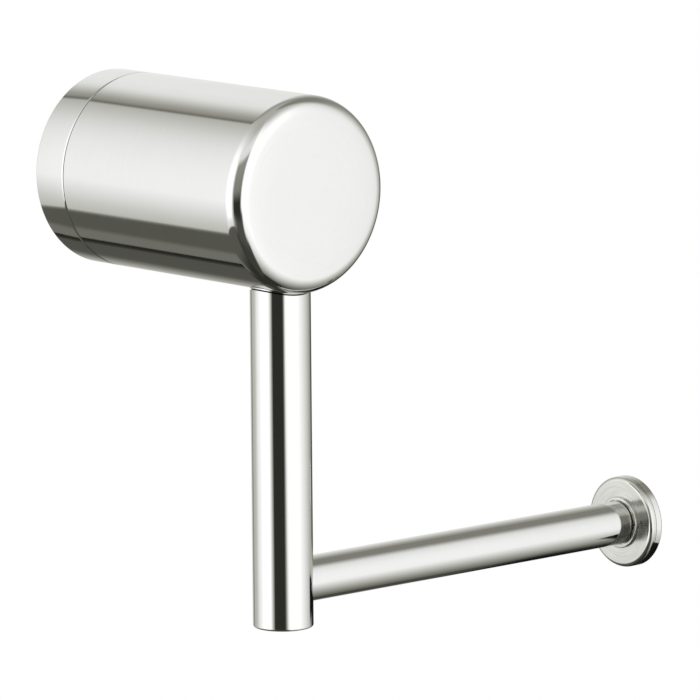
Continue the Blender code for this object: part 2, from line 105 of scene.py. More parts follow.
# %% [markdown]
# ## The light tent
# Polished steel has hardly any colour of its own. What we see in it is the room, so the room has to be
# made as carefully as the metal. A studio hangs white cloth all round such a piece and leaves dark gaps on
# purpose: each gap shows as a dark band that draws the shape. Lamps and cards could be modelled one by
# one, but then each new camera angle would look at the back of one of them. Painting the tent on the world
# instead keeps it infinitely far away, so it is the same from every side. Two numbers are needed for that,
# the compass direction of a ray and its height above the horizon, both in degrees. 0 is straight in front
# of the wall, 90 is the side that the roll bar points to, and 180 is the wall.

# %% Small node helpers
def math_node(tree, operation, *values):
    """One Math node. A value is a number or the output of another node."""
    node = tree.nodes.new("ShaderNodeMath")
    node.operation = operation
    for socket, value in zip(node.inputs, values):
        if isinstance(value, (int, float)):
            socket.default_value = value
        else:
            tree.links.new(value, socket)
    return node.outputs[0]


def fade(tree, value, start, end, low=0.0, high=1.0, smooth=True):
    """Goes from low to high while value goes from start to end, and stays level outside."""
    node = tree.nodes.new("ShaderNodeMapRange")
    node.interpolation_type = "SMOOTHSTEP" if smooth else "LINEAR"
    node.inputs["From Min"].default_value = start
    node.inputs["From Max"].default_value = end
    node.inputs["To Min"].default_value = low
    node.inputs["To Max"].default_value = high
    tree.links.new(value, node.inputs["Value"])
    return node.outputs["Result"]


def blend(tree, low, high, amount):
    """low where amount is 0 and high where it is 1."""
    span = math_node(tree, "SUBTRACT", high, low)
    return math_node(tree, "MULTIPLY_ADD", span, amount, low)


def colour_mix(tree, amount, low, high):
    """A colour between low and high. Each is four numbers or the output of another node."""
    node = tree.nodes.new("ShaderNodeMix")
    node.data_type = "RGBA"
    tree.links.new(amount, node.inputs["Factor"])
    for name, colour in (("A", low), ("B", high)):
        if isinstance(colour, tuple):
            node.inputs[name].default_value = colour
        else:
            tree.links.new(colour, node.inputs[name])
    return node.outputs["Result"]


def object_position(tree):
    return tree.nodes.new("ShaderNodeTexCoord").outputs["Object"]


def new_material(name):
    """A material with its node tree and its main shader."""
    material = bpy.data.materials.new(name)
    material.use_nodes = True
    return material, material.node_tree, material.node_tree.nodes["Principled BSDF"]


print("node helpers ready")

# %% Compass direction and height of a ray
world = bpy.data.worlds.new("light_tent")
bpy.context.scene.world = world
world.use_nodes = True
tent = world.node_tree
tent.nodes.clear()
ray = tent.nodes.new("ShaderNodeSeparateXYZ")
tent.links.new(tent.nodes.new("ShaderNodeTexCoord").outputs["Generated"], ray.inputs[0])
away_from_wall = math_node(tent, "MULTIPLY", ray.outputs["Y"], -1.0)
compass = math_node(tent, "DEGREES", math_node(tent, "ARCTAN2", ray.outputs["X"], away_from_wall))
height = math_node(tent, "DEGREES", math_node(tent, "ARCSINE", ray.outputs["Z"]))
print("tent has", len(tent.nodes), "nodes for its two angles")

# %% [markdown]
# A panel of the tent is a patch of sky between two compass directions and two heights. Its edges fade over
# a few degrees, because a cloth's edge is out of focus in a curved mirror, and its light can fall off
# towards one side, as it does on a cloth that is lit from the other. Panels are laid over each other like
# cut paper, and each one covers what was there before it.

# %% Lay one panel over the others
def panel(light, glow, sides, side_fades, heights, height_fades, falloff=None, droop=None, cover=1.0):
    """Covers the patch between two sides and two heights with a cloth of brightness glow.

    falloff and droop are (start, end, share): the glow rises from that share to full between two directions
    or two heights. cover below 1 lets what is behind shine through.
    """
    middle = sum(sides) / 2
    half = sides[1] - middle
    turned_to = math_node(tent, "WRAP", math_node(tent, "SUBTRACT", compass, middle), 180.0, -180.0)
    edges = (
        fade(tent, turned_to, -half, -half + side_fades[0]),
        fade(tent, turned_to, half, half - side_fades[1]),
        fade(tent, height, heights[0], heights[0] + height_fades[0]),
        fade(tent, height, heights[1], heights[1] - height_fades[1]),
    )
    mask = cover
    for edge in edges:
        mask = math_node(tent, "MULTIPLY", edge, mask)
    for change, angle, zero in ((falloff, turned_to, middle), (droop, height, 0.0)):
        if change:
            start, end, share = change
            dimmed = fade(tent, angle, start - zero, end - zero, share, 1.0, smooth=False)
            glow = math_node(tent, "MULTIPLY", dimmed, glow)
    return blend(tent, light, glow, mask)


# %% Hang the tent
light = fade(tent, height, -40, -24, 0.035, 0.26)
light = blend(tent, light, 0.34, fade(tent, height, 0, 30))
light = blend(tent, light, 0.52, fade(tent, height, 45, 80))
# White cloth on the wall's right half, the dark gap beside it, and the large white cloth on the left
light = panel(light, 1.13, (112, 179), (40, 24), (-34, 56), (42, 18), droop=(60, 0, 0.75))
light = panel(light, 0.07, (103, 132), (3, 8), (-62, -3), (8, 5))
light = panel(light, 1.42, (-179, -72), (1.5, 18), (-29.5, 80), (1.5, 50), (-180, -122, 0.4), (-30, -6, 0.6))
light = panel(light, 0.55, (-179, -140), (2, 22), (-28, 25), (8, 25), cover=0.7)
light = panel(light, 1.50, (-128, -84), (14, 10), (-25, 15), (10, 15))
# Cloth above the camera, and a bright one to the right that dims behind and above the bar
light = panel(light, 0.95, (-100, 0), (20, 20), (28, 78), (10, 35))
light = panel(light, 1.36, (-31, 106), (10, 1), (-72, 85), (2, 50), (106, 28, 0.2), (-72, -14, 0.1))
light = panel(light, 0.27, (56, 114), (28, 1), (8, 85), (38, 10))
# Table top on the left and behind, with a paler streak
light = panel(light, 0.115, (-182, -60), (3, 30), (-75, -29.5), (25, 1))
light = panel(light, 0.10, (148, 176), (8, 3), (-60, -31), (20, 4))
light = panel(light, 0.20, (-180, -164), (1, 6), (-60, -33), (8, 3))
# The dim room round the camera, the slot that it looks through, and the gap between two cloths on the wall
light = panel(light, 0.06, (-75, -4), (20, 10), (-88, -24), (5, 14))
light = panel(light, 0.09, (-72, -14), (14, 12), (-50, -8), (12, 8))
light = panel(light, 0.033, (-75, -29.5), (4, 4), (-26, 6), (12, 13))
light = panel(light, 0.02, (176.3, 181), (2, 1), (-62, -32), (8, 4))
light = panel(light, 0.17, (175.8, 181), (5, 1), (28, 62), (8, 20))
print("tent has", len(tent.nodes), "nodes")

# %% [markdown]
# White cloth is slightly warm where little light reaches it, so darker parts of the tent get a touch of
# yellow. The camera itself sees a pure white backdrop behind the holder, which is what the picture editor
# of a catalogue would leave. Light Path tells the two kinds of ray apart.

# %% Colour the tent and keep the backdrop white
SHADE_TINT = (1.0, 1.0, 0.84, 1.0)
WHITE = (1.0, 1.0, 1.0, 1.0)

cloth = tent.nodes.new("ShaderNodeBackground")
tent.links.new(colour_mix(tent, light, SHADE_TINT, WHITE), cloth.inputs["Color"])
tent.links.new(light, cloth.inputs["Strength"])
backdrop = tent.nodes.new("ShaderNodeBackground")
backdrop.inputs["Color"].default_value = WHITE
chooser = tent.nodes.new("ShaderNodeMixShader")
tent.links.new(tent.nodes.new("ShaderNodeLightPath").outputs["Is Camera Ray"], chooser.inputs["Fac"])
tent.links.new(cloth.outputs[0], chooser.inputs[1])
tent.links.new(backdrop.outputs[0], chooser.inputs[2])
tent.links.new(chooser.outputs[0], tent.nodes.new("ShaderNodeOutputWorld").inputs["Surface"])
print("tent done")

# %% [markdown]
# ## The floor
# The holder hangs on a wall that isn't there, so the floor is a good way below it, and it is only a pale
# round sheet that fades to nothing at its rim. A sheet that ran on would meet the white backdrop in a
# visible line. The steel doesn't reflect it, because the tent already holds everything that the steel
# should see.

# %% From a bmesh to an object
def loose_object(name, shape):
    """Turns a finished bmesh into an object of the scene."""
    mesh = bpy.data.meshes.new(name)
    shape.to_mesh(mesh)
    shape.free()
    obj = bpy.data.objects.new(name, mesh)
    bpy.context.scene.collection.objects.link(obj)
    return obj


print("mesh helper ready")

# %% Lay the floor
FLOOR_DROP = 0.12
FLOOR_RADIUS = 0.42
FLOOR_SOLID = 0.06  # beyond this radius it starts to fade
PAPER = (0.86, 0.86, 0.85, 1.0)

shape = bmesh.new()
bmesh.ops.create_circle(shape, cap_ends=True, segments=96, radius=FLOOR_RADIUS)
under = Vector((cad_box[0][0] + cad_box[1][0], cad_box[0][1] + cad_box[1][1], 0.0)) / 2
under.z = cad_box[0][2] - FLOOR_DROP
bmesh.ops.translate(shape, vec=under, verts=shape.verts)
floor = loose_object("floor", shape)
floor.visible_glossy = False

paper, tree, paper_shader = new_material("pale_floor")
paper_shader.inputs["Base Color"].default_value = PAPER
paper_shader.inputs["Roughness"].default_value = 0.9
paper_shader.inputs["Specular IOR Level"].default_value = 0.1
from_middle = tree.nodes.new("ShaderNodeVectorMath")
from_middle.operation = "DISTANCE"
tree.links.new(object_position(tree), from_middle.inputs[0])
from_middle.inputs[1].default_value = under
rim = fade(tree, from_middle.outputs["Value"], FLOOR_SOLID, FLOOR_RADIUS, 1.0, 0.0)
tree.links.new(rim, paper_shader.inputs["Alpha"])
floor.data.materials.append(paper)
print("floor", round(-under.z * 1000), "mm below the body's axis")

# %% [markdown]
# A painted tent is the same from everywhere, but a real studio isn't, and the disc's end of the bar stands
# close to something dark that the rest doesn't see. A small black card hung for that is called a flag.
# This one hangs beyond the cap and a little below it, across the bar's axis. Only reflections show it, and
# it is hidden from the camera.

# %% Cut the flag
FLAG_PAST_CAP = 0.023
FLAG_LOW = Vector((0.0, -0.0985, -0.195))
FLAG_HIGH = Vector((0.0, 0.030, -0.131))

shape = bmesh.new()
bmesh.ops.create_grid(shape, x_segments=1, y_segments=1, size=0.5)
bmesh.ops.rotate(shape, cent=(0, 0, 0), matrix=Matrix.Rotation(math.radians(90), 3, "Y"), verts=shape.verts)
bmesh.ops.scale(shape, vec=(1, FLAG_HIGH.y - FLAG_LOW.y, FLAG_HIGH.z - FLAG_LOW.z), verts=shape.verts)
flag_middle = (FLAG_LOW + FLAG_HIGH) / 2
flag_middle.x = cad_box[1][0] + FLAG_PAST_CAP
bmesh.ops.translate(shape, vec=flag_middle, verts=shape.verts)
flag = loose_object("flag", shape)
flag.visible_camera = False
flag.visible_shadow = False
flag.visible_diffuse = False
print("flag", round(FLAG_PAST_CAP * 1000), "mm past the cap")

# %% [markdown]
# A hard-edged card would show as a hard-edged patch, so its cloth thins out to nothing towards the front
# and at the foot. A narrow strip along the top stays solid for the whole width, and draws the thin black
# line along the bar's lower edge.

# %% Cover the flag in felt that thins out
FELT = (0.01, 0.01, 0.01, 1.0)
STRIP_EDGE = (-0.147, -0.141)  # each edge goes from nothing to solid
FRONT_EDGE = (-0.095, -0.030)
FOOT_EDGE = (FLAG_LOW.z, FLAG_LOW.z + 0.025)

felt, tree, felt_shader = new_material("black_felt")
felt_shader.inputs["Base Color"].default_value = FELT
felt_shader.inputs["Roughness"].default_value = 1.0
felt_shader.inputs["Specular IOR Level"].default_value = 0.0
place = tree.nodes.new("ShaderNodeSeparateXYZ")
tree.links.new(object_position(tree), place.inputs[0])
strip = fade(tree, place.outputs["Z"], *STRIP_EDGE)
bulk = fade(tree, place.outputs["Y"], *FRONT_EDGE)
foot = fade(tree, place.outputs["Z"], *FOOT_EDGE)
cloth_there = math_node(tree, "MULTIPLY", math_node(tree, "MAXIMUM", strip, bulk), foot)
tree.links.new(cloth_there, felt_shader.inputs["Alpha"])
flag.data.materials.append(felt)
print("felt has", len(tree.nodes), "nodes")

# %% [markdown]
# ## Steel, brass and rubber
# A turned or polished piece was held in a spinning chuck, so whatever marks it has run in rings round its
# own axis. One recipe makes them all: noise that changes fast along the radius and along the axis, and
# slowly on the way round. In a four-dimensional noise texture the radius and the distance along the axis
# are the fast directions, and the heading round the axis, a point on a small circle, is the slow one, so
# there is no seam. The rings change the roughness a little and tip the surface a little. The sizes of
# these two effects are all that divides a mirror finish from a lathe finish.

# %% Rings round an axis
WANDER = 2.0  # how much a ring changes on its way round


def seated_position(tree, seat):
    """Object coordinates, moved and turned so that the piece's axis is the Z axis."""
    back = seat.inverted()
    node = tree.nodes.new("ShaderNodeMapping")
    node.inputs["Location"].default_value = back.translation
    node.inputs["Rotation"].default_value = back.to_euler()
    tree.links.new(object_position(tree), node.inputs["Vector"])
    return node.outputs["Vector"]


def vector_node(tree, operation, first, second=None):
    """One Vector Math node. The second value is a vector, a factor or the output of another node."""
    node = tree.nodes.new("ShaderNodeVectorMath")
    node.operation = operation
    tree.links.new(first, node.inputs[0])
    if isinstance(second, (tuple, Vector)):
        node.inputs[1].default_value = second
    elif isinstance(second, float):
        node.inputs["Scale"].default_value = second
    elif second is not None:
        tree.links.new(second, node.inputs[1])
    return node.outputs["Value"] if operation == "LENGTH" else node.outputs["Vector"]


def tip_surface(tree, shader, relief, depth):
    """Lets a relief of this depth in metres tip the surface."""
    bump = tree.nodes.new("ShaderNodeBump")
    bump.inputs["Distance"].default_value = depth
    tree.links.new(relief, bump.inputs["Height"])
    tree.links.new(bump.outputs["Normal"], shader.inputs["Normal"])


def noise_node(tree, position, scale, detail, w=None):
    """Noise in three dimensions, or in four when w is given."""
    node = tree.nodes.new("ShaderNodeTexNoise")
    node.inputs["Scale"].default_value = scale
    node.inputs["Detail"].default_value = detail
    tree.links.new(position, node.inputs["Vector"])
    if w is not None:
        node.noise_dimensions = "4D"
        tree.links.new(w, node.inputs["W"])
    return node.outputs["Fac"]


def ring_noise(tree, seat, spacing, detail):
    """Noise drawn out into rings about spacing metres apart."""
    position = seated_position(tree, seat)
    flat = vector_node(tree, "MULTIPLY", position, (1.0, 1.0, 0.0))
    around = vector_node(tree, "SCALE", vector_node(tree, "NORMALIZE", flat), WANDER)
    along = vector_node(tree, "MULTIPLY", position, (0.0, 0.0, 1.0 / spacing))
    radius = math_node(tree, "MULTIPLY", vector_node(tree, "LENGTH", flat), 1.0 / spacing)
    return noise_node(tree, vector_node(tree, "ADD", around, along), 1.0, detail, radius)


print("rings ready")

# %% One recipe for every metal
MARK_MIDDLE = (0.35, 0.65)  # what most of a noise texture's values lie between
PATCH_SIZE = 0.012  # of the soft patches that hands and polish leave
RING_SHARE = 0.6  # of the marks; the patches make up the rest


def metal(name, seat, dark, light, roughness, spacing, groove, spread=0.0, detail=3.0):
    """A turned metal: two tints, a range of roughness, and grooves of a depth in metres.

    spread above 0 draws the gloss out across the grooves, as a lathe's fine feed does. detail is how many
    times finer marks are laid over the rings.
    """
    material, tree, shader = new_material(name)
    shader.inputs["Metallic"].default_value = 1.0
    rings = ring_noise(tree, seat, spacing, detail)
    patches = noise_node(tree, seated_position(tree, seat), 1.0 / PATCH_SIZE, 2.0)
    both = math_node(
        tree, "MULTIPLY_ADD", rings, RING_SHARE, math_node(tree, "MULTIPLY", patches, 1.0 - RING_SHARE)
    )
    tree.links.new(fade(tree, both, *MARK_MIDDLE, *roughness, smooth=False), shader.inputs["Roughness"])
    tint = colour_mix(tree, fade(tree, both, *MARK_MIDDLE), (*dark, 1.0), (*light, 1.0))
    tree.links.new(tint, shader.inputs["Base Color"])
    tip_surface(tree, shader, rings, groove)
    if spread:
        shader.inputs["Anisotropic"].default_value = spread
        tree.links.new(across_grooves(tree, seat), shader.inputs["Tangent"])
    return material


def across_grooves(tree, seat):
    """The direction on the surface at right angles to the rings."""
    axis = seat.to_3x3() @ Vector((0, 0, 1))
    offset = vector_node(tree, "SUBTRACT", object_position(tree), seat.translation)
    along_ring = vector_node(tree, "CROSS_PRODUCT", offset, axis)
    surface = tree.nodes.new("ShaderNodeNewGeometry").outputs["Normal"]
    return vector_node(tree, "CROSS_PRODUCT", surface, along_ring)


print("metal recipe ready")

# %% [markdown]
# Two pieces change along their surface. The disc's face is as the lathe left it but its rim is polished,
# and a fine groove of the rod under the cup is coloured black as painted shade. Neither needs a second
# material: the distance from the piece's axis tells where the surface changes.

# %% A polished rim round a turned face
RIM_ROUGHNESS = 0.3  # as a share of the face's


def polish_rim(material, seat, face_radius):
    """Makes the surface smoother outside this radius, where the turned face ends."""
    tree = material.node_tree
    shader = tree.nodes["Principled BSDF"]
    flat = vector_node(tree, "MULTIPLY", seated_position(tree, seat), (1.0, 1.0, 0.0))
    on_rim = math_node(tree, "GREATER_THAN", vector_node(tree, "LENGTH", flat), face_radius)
    share = math_node(tree, "MULTIPLY_ADD", on_rim, RIM_ROUGHNESS - 1.0, 1.0)
    rough = math_node(tree, "MULTIPLY", shader.inputs["Roughness"].links[0].from_socket, share)
    tree.links.new(rough, shader.inputs["Roughness"])


print("rim polish ready")

# %% Painted shade in a groove
# black painted shade for the fine groove just under the cup
GROOVE_SHADE_COLOUR = (0.03, 0.03, 0.027, 1.0)


def paint_groove_shade(material, seat, reach, level):
    """Blackens, as painted shade, the surface that lies nearer to the axis than reach, above a level on the
    axis.
    """
    tree = material.node_tree
    shader = tree.nodes["Principled BSDF"]
    position = seated_position(tree, seat)
    place = tree.nodes.new("ShaderNodeSeparateXYZ")
    tree.links.new(position, place.inputs[0])
    flat = vector_node(tree, "MULTIPLY", position, (1.0, 1.0, 0.0))
    deep = math_node(tree, "LESS_THAN", vector_node(tree, "LENGTH", flat), reach)
    # painted shade: black inside the groove, close under the cup
    groove_shade = math_node(tree, "MULTIPLY", deep, math_node(tree, "GREATER_THAN", place.outputs["Z"], level))
    steel = shader.inputs["Base Color"].links[0].from_socket
    tree.links.new(colour_mix(tree, groove_shade, steel, GROOVE_SHADE_COLOUR), shader.inputs["Base Color"])


print("paste ready")

# %% Where each piece's axis runs
FORWARD = Matrix.Rotation(math.radians(90), 4, "X")  # turns Z to point out of the wall
SIDEWAYS = Matrix.Rotation(math.radians(90), 4, "Y")  # turns Z to point along the bar

rod_low, rod_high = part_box("drop_rod")
bar_low, bar_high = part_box("bar_tube")
disc_low, disc_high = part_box("stop_disc")
screw_low, screw_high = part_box("locking_screw")
disc_radius = (disc_high.z - disc_low.z) / 2
rod_middle = (rod_low + rod_high) / 2
bar_middle = (bar_low + bar_high) / 2
screw_middle = (screw_low + screw_high) / 2

body_seat = FORWARD
rod_seat = Matrix.Translation((rod_middle.x, rod_middle.y, 0.0))
bar_seat = Matrix.Translation((0.0, bar_middle.y, bar_middle.z)) @ SIDEWAYS
screw_seat = Matrix.Translation((screw_middle.x, screw_middle.y, 0.0))
print(f"rod axis at y {rod_middle.y * 1000:.1f} mm, bar axis at z {bar_middle.z * 1000:.1f} mm")

# %% Mix the steels and the brass
GROOVE_SHADE_DEPTH = 0.0001  # how far below the rod's skin the painted shade starts
GROOVE_SHADE_REACH = 0.0020  # how far below the cup the painted shade reaches
SHOULDER = 0.0012  # of the stop disc, polished like the bar
POLISHED = dict(dark=(0.735, 0.735, 0.722), light=(0.750, 0.750, 0.738), roughness=(0.045, 0.080))
polished_body = metal("polished_steel_body", body_seat, **POLISHED, spacing=0.0005, groove=4e-8)
polished_rod = metal("polished_steel_rod", rod_seat, **POLISHED, spacing=0.0004, groove=4e-8)
# the rod's groove under the cup gets black painted shade
paint_groove_shade(polished_rod, rod_seat, rod_high.x - GROOVE_SHADE_DEPTH, -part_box("body_shell")[1].x - GROOVE_SHADE_REACH)
polished_bar = metal("polished_steel_bar", bar_seat, **POLISHED, spacing=0.0004, groove=4e-8)
TURNED = dict(dark=(0.585, 0.585, 0.555), light=(0.690, 0.690, 0.660))
turned_disc = metal(
    "turned_steel_disc", bar_seat, **TURNED, roughness=(0.18, 0.27), spacing=0.0005, groove=4e-7,
    spread=0.7, detail=1.0,
)
polish_rim(turned_disc, bar_seat, disc_radius - SHOULDER)
turned_bracket = metal(
    "machined_steel_bracket", body_seat, **TURNED, roughness=(0.26, 0.40), spacing=0.0005, groove=8e-6,
    spread=0.5,
)
FASTENER = dict(dark=(0.42, 0.42, 0.42), light=(0.56, 0.56, 0.55), roughness=(0.22, 0.36))
screw_steel = metal("fastener_steel_screw", screw_seat, **FASTENER, spacing=0.0003, groove=3e-6)
body_fasteners = metal("fastener_steel_body", body_seat, **FASTENER, spacing=0.0003, groove=3e-6)
bar_fasteners = metal("fastener_steel_bar", bar_seat, **FASTENER, spacing=0.0003, groove=3e-6)
BRASS = dict(dark=(0.62, 0.45, 0.20), light=(0.76, 0.58, 0.30), roughness=(0.24, 0.42))
body_brass = metal("machined_brass_carrier", body_seat, **BRASS, spacing=0.0004, groove=8e-6)
bar_brass = metal("machined_brass_plug", bar_seat, **BRASS, spacing=0.0003, groove=6e-6)
print(len(bpy.data.materials), "materials so far")

# %% [markdown]
# Rubber is the opposite of polished steel: dark, dull and never quite even. The O-rings have a fine
# moulded grain and a little dust. The gasket is foam, so its surface is a crowd of small open cells, which
# Voronoi distance gives directly.

# %% Rubber and foam
DUST_SCALE = 250.0
DUST_SHOWS = (0.45, 0.80)  # the noise's values, from clean to dusty
DULLNESS = (0.62, 0.88)  # roughness where it is clean and where it is dusty


def rubber(name, seat, colour, dusty, grain, depth, open_cells=False):
    """Dull rubber with a little dust. grain and depth are the size of its texture in metres."""
    material, tree, shader = new_material(name)
    shader.inputs["Specular IOR Level"].default_value = 0.35
    position = seated_position(tree, seat)
    dust = noise_node(tree, position, DUST_SCALE, 4.0)
    tree.links.new(fade(tree, dust, *MARK_MIDDLE, *DULLNESS), shader.inputs["Roughness"])
    tint = colour_mix(tree, fade(tree, dust, *DUST_SHOWS), (*colour, 1.0), (*dusty, 1.0))
    tree.links.new(tint, shader.inputs["Base Color"])
    if open_cells:
        cells = tree.nodes.new("ShaderNodeTexVoronoi")
        cells.inputs["Scale"].default_value = 1.0 / grain
        tree.links.new(position, cells.inputs["Vector"])
        relief = cells.outputs["Distance"]
    else:
        relief = noise_node(tree, position, 1.0 / grain, 3.0)
    tip_surface(tree, shader, relief, depth)
    return material


ring_rubber = rubber("o_ring_rubber", body_seat, (0.018, 0.018, 0.019), (0.05, 0.05, 0.048), 0.0003, 2e-5)
foam_rubber = rubber(
    "foam_rubber", body_seat, (0.028, 0.028, 0.03), (0.075, 0.073, 0.07), 0.0006, 2e-4, open_cells=True
)
print("rubber and foam mixed")

# %% [markdown]
# ## How the pieces are shaped
# Nearly everything here is a body of revolution, so nearly everything starts as the cross-section that a
# lathe operator would draw: a handful of corners, given as a radius and a height. Spinning it makes the
# solid with sharp corners, and beveling the rings that need it rounds them, as a file or a radius tool
# would. Holes and slots are cut with a Boolean, whose result is read back, so that no cutter stays in the
# file. Weighted normals at the end keep the flat faces flat right up to their rounded edges, which matters
# more than anything else on a mirror.

# %% Spin, round and carve
FINE_STEPS = 192
ROD_STEPS = 128
SMALL_STEPS = 64


def turn(outline, steps):
    """Spins a closed outline of (radius, height) corners round the Z axis."""
    shape = bmesh.new()
    corners = [shape.verts.new((radius, 0.0, level)) for radius, level in outline]
    sides = [shape.edges.new(pair) for pair in zip(corners, corners[1:] + corners[:1])]
    bmesh.ops.spin(
        shape, geom=corners + sides, cent=(0, 0, 0), axis=(0, 0, 1), angle=math.tau,
        steps=steps, use_merge=True,
    )
    bmesh.ops.remove_doubles(shape, verts=shape.verts, dist=1e-7)
    on_axis = [edge for edge in shape.edges if not edge.link_faces]
    bmesh.ops.delete(shape, geom=on_axis, context="EDGES")
    bmesh.ops.recalc_face_normals(shape, faces=shape.faces)
    return shape


def round_ring(shape, radius, level, size, segments=6):
    """Rounds the circular edge at this radius and height."""
    def on_ring(vert):
        return abs(vert.co.xy.length - radius) < 2e-6 and abs(vert.co.z - level) < 2e-6

    ring = [edge for edge in shape.edges if on_ring(edge.verts[0]) and on_ring(edge.verts[1])]
    bmesh.ops.bevel(
        shape, geom=ring, offset=size, offset_type="OFFSET", segments=segments, profile=0.5,
        affect="EDGES", material=-1, clamp_overlap=True,
    )


def carve(shape, tool, operation="DIFFERENCE"):
    """Cuts tool out of shape, or keeps what the two share, and gives back a new bmesh."""
    work, cutter = loose_object("work", shape), loose_object("cutter", tool)
    boolean = work.modifiers.new("carve", "BOOLEAN")
    boolean.operation = operation
    boolean.object = cutter
    result = bmesh.new()
    result.from_object(work, bpy.context.evaluated_depsgraph_get())
    for obj in (work, cutter):
        mesh = obj.data
        bpy.data.objects.remove(obj)
        bpy.data.meshes.remove(mesh)
    return result


def drum(radius, start, end, steps):
    """A solid cylinder along Z."""
    return turn([(0, start), (radius, start), (radius, end), (0, end)], steps)


def tube(bore, radius, start, end, steps):
    """A hollow cylinder along Z."""
    return turn([(bore, start), (radius, start), (radius, end), (bore, end)], steps)


def block(size, middle):
    """A box of this size round this point."""
    shape = bmesh.new()
    bmesh.ops.create_cube(shape, size=1.0)
    bmesh.ops.scale(shape, vec=size, verts=shape.verts)
    bmesh.ops.translate(shape, vec=middle, verts=shape.verts)
    return shape


print("workshop ready")

# %% Finish a piece and hang it on its body
SHARP_FROM = math.radians(30)  # edges that turn more than this stay crisp


def add_piece(name, shape, body, finish, node):
    """Gives the shape its finish, hangs it on its body, and lets it stand for the CAD node."""
    piece = loose_object(name, shape)
    piece.data.materials.clear()
    piece.data.materials.append(finish)
    piece.data.shade_smooth()
    piece.data.set_sharp_from_angle(angle=SHARP_FROM)
    even = piece.modifiers.new("even_normals", "WEIGHTED_NORMAL")
    even.keep_sharp = True
    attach(piece, body)
    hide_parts(node)
    faces = sum(len(face.vertices) - 2 for face in piece.data.polygons)
    print(f"{name}: {faces} triangles, {piece.dimensions.x * 1000:.1f} x "
          f"{piece.dimensions.y * 1000:.1f} x {piece.dimensions.z * 1000:.1f} mm")


def seated(shape, seat):
    """Moves a shape that was made round the Z axis to its place on the holder."""
    bmesh.ops.transform(shape, matrix=seat, verts=shape.verts)
    return shape


# %% [markdown]
# ## The cup
# The body is a cup, deep-drawn from 1.5 mm sheet and polished, open towards the wall. Two things make its
# front look drawn and not machined. Its edge is a wide quarter-round, and its face isn't quite flat: it
# stays level over the middle and then falls away faster and faster towards the edge. On a mirror that
# slight crown shows at once, as a soft bright rim that runs round the face. The crown is a sixth power of
# the radius, because a sphere would bend the middle as well.

# %% Sizes that the cup shares with its neighbours
GAP = 0.0003  # between pieces that touch
cup_low, cup_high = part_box("body_shell")
bracket_low, bracket_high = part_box("wall_bracket")
cup_radius = cup_high.x
cup_back = -cup_high.y
cup_front = -cup_low.y
bore_radius = bracket_high.x + GAP
cup_wall = cup_radius - bore_radius
rod_radius = rod_high.x
screw_radius = screw_high.x
print("cup", round(cup_radius * 2000, 1), "mm across, wall", round(cup_wall * 1000, 2), "mm")

# %% Spin the cup, round its edge and crown its face
EDGE_RADIUS = 0.0042
CROWN = 0.00055
CROWN_POWER = 6
FACE_RINGS = (0.0207, 0.0195, 0.0180, 0.0160, 0.0135, 0.0105, 0.0060)
SEAM_EDGE = 0.00025

outline = [(bore_radius, cup_back), (cup_radius, cup_back), (cup_radius, cup_front)]
outline += [(radius, cup_front) for radius in FACE_RINGS]
outline += [(0, cup_front), (0, cup_front - cup_wall), (bore_radius, cup_front - cup_wall)]
cup = turn(outline, FINE_STEPS)
round_ring(cup, cup_radius, cup_front, EDGE_RADIUS, segments=14)
round_ring(cup, bore_radius, cup_front - cup_wall, EDGE_RADIUS - cup_wall, segments=6)
round_ring(cup, cup_radius, cup_back, SEAM_EDGE, segments=2)
for vert in cup.verts:
    radius = vert.co.xy.length
    on_face = vert.co.z > cup_front - cup_wall / 2
    on_edge = radius + vert.co.z > cup_radius + cup_front - EDGE_RADIUS - GAP / 2
    if on_face or on_edge:
        vert.co.z -= CROWN * (radius / cup_radius) ** CROWN_POWER
print("cup has", len(cup.faces), "faces")

# %% Drill the cup for the rod and for the locking screw, and hang it
DRILL_SPARE = 0.001  # so that a drill starts and ends in the open

below = -cup_radius - DRILL_SPARE
seated(cup, body_seat)
cup = carve(cup, seated(drum(rod_radius + GAP, below, 0.0, ROD_STEPS), rod_seat))
screw_drill = drum(screw_radius + GAP, below, -bore_radius + DRILL_SPARE, SMALL_STEPS)
cup = carve(cup, seated(screw_drill, screw_seat))
add_piece("drawn_cup", cup, "holder", polished_body, "body_shell")

# %% [markdown]
# ## The base ring
# Between the cup and the wall sits a slice of the same tube. It hides the bracket's plate, and the
# hairline between the two is the only sign that the holder comes apart. The ring's front edge is broken at
# a shallow angle, which catches the light as one bright thread beside the dark gap.

# %% Spin the base ring
BREAK_LENGTH = 0.0005
BREAK_DEPTH = 0.0002

ring_depth = -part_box("base_ring")[0].y
base_ring = turn(
    [
        (bore_radius, 0),
        (cup_radius, 0),
        (cup_radius, ring_depth - BREAK_LENGTH),
        (cup_radius - BREAK_DEPTH, ring_depth),
        (bore_radius, ring_depth),
    ],
    FINE_STEPS,
)
round_ring(base_ring, cup_radius, 0, SEAM_EDGE, segments=2)
add_piece(
    "wall_side_ring", seated(base_ring, body_seat), "wall_fixing", polished_body,
    "base_ring",
)

# %% [markdown]
# ## The wall bracket and its rubber
# Behind the ring is the piece that is screwed to the wall: a plate with two slots, which leave some play
# for crooked holes, and a short spigot that the ring and the cup slide over. It is turned from bar and
# left as it comes off the lathe. Two grooves hold O-rings that stop the ring and the cup from rattling, a
# recess in the back holds a foam washer, and a keyway in the spigot takes the cup's boss, so that the arm
# can't turn.

# %% Draw the bracket's outline
GASKET_WIDTH = 0.004
WELL_RADIUS = 0.0170  # of the hollow behind the spigot's mouth
WEB = 0.0040  # what the wall screws' heads press on

